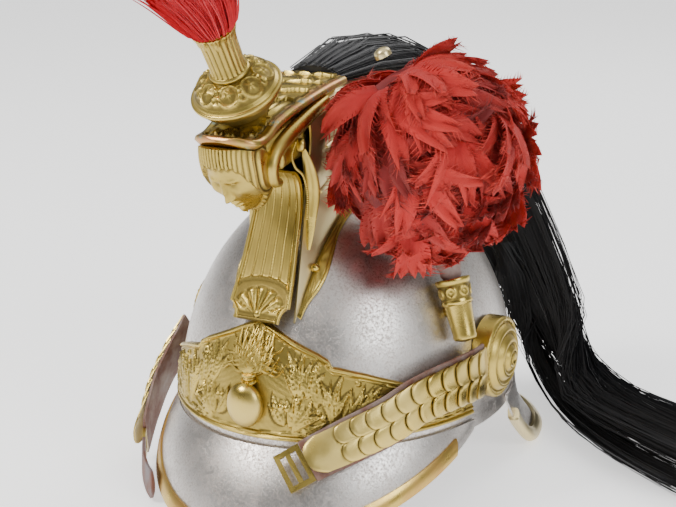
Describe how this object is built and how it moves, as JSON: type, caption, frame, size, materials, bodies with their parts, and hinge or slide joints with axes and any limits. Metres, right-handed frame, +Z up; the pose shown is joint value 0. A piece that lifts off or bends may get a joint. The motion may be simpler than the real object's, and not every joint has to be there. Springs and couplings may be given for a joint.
{
  "type": "cuirassier helmet",
  "caption": "Steel cavalry helmet with brass crest, red plume and tuft, black mane and scaled chin straps, resting on visor and neck guard.",
  "frame": {"origin": "On the surface that the helmet rests on, under the middle of its bounding box.", "axes": "+Z up, the helmet's front looks along -Y, and its wearer's left side, to which the mane is swept, is +X."},
  "size_m": [0.4494, 0.3888, 0.3292],
  "materials": {
    "steel": "polished steel with fine pitting",
    "brass": "polished brass with dark recesses",
    "leather": "worn brown leather",
    "red_feather": "dyed red cock feathers",
    "red_hair": "dyed red horsehair",
    "black_hair": "black horsehair"
  },
  "bodies": {
    "root": {"buckle_left": "brass", "crest_cap": "brass", "crest_comb": "brass", "crest_flange_left": "brass", "crest_flange_right": "brass", "crest_front_plate": "brass", "crest_head": "brass", "front_band": "brass", "grenade": "brass", "loop_right": "brass", "mane": "black_hair", "neck_guard": "steel", "neck_guard_binding": "brass", "plume": "red_feather", "plume_socket": "brass", "plume_stem": "leather", "rosette_left": "brass", "rosette_right": "brass", "scale_left_1": "brass", "scale_left_10": "brass", "scale_left_11": "brass", "scale_left_12": "brass", "scale_left_2": "brass", "scale_left_3": "brass", "scale_left_4": "brass", "scale_left_5": "brass", "scale_left_6": "brass", "scale_left_7": "brass", "scale_left_8": "brass", "scale_left_9": "brass", "scale_right_1": "brass", "scale_right_2": "brass", "scale_right_3": "brass", "scale_right_4": "brass", "scale_right_5": "brass", "scale_right_6": "brass", "scale_right_7": "brass", "skull": "steel", "strap_left": "leather", "strap_right": "leather", "tongue_right": "leather", "tuft": "red_hair", "tuft_holder": "brass", "visor": "steel", "visor_binding": "brass"}
  },
  "joints": []
}
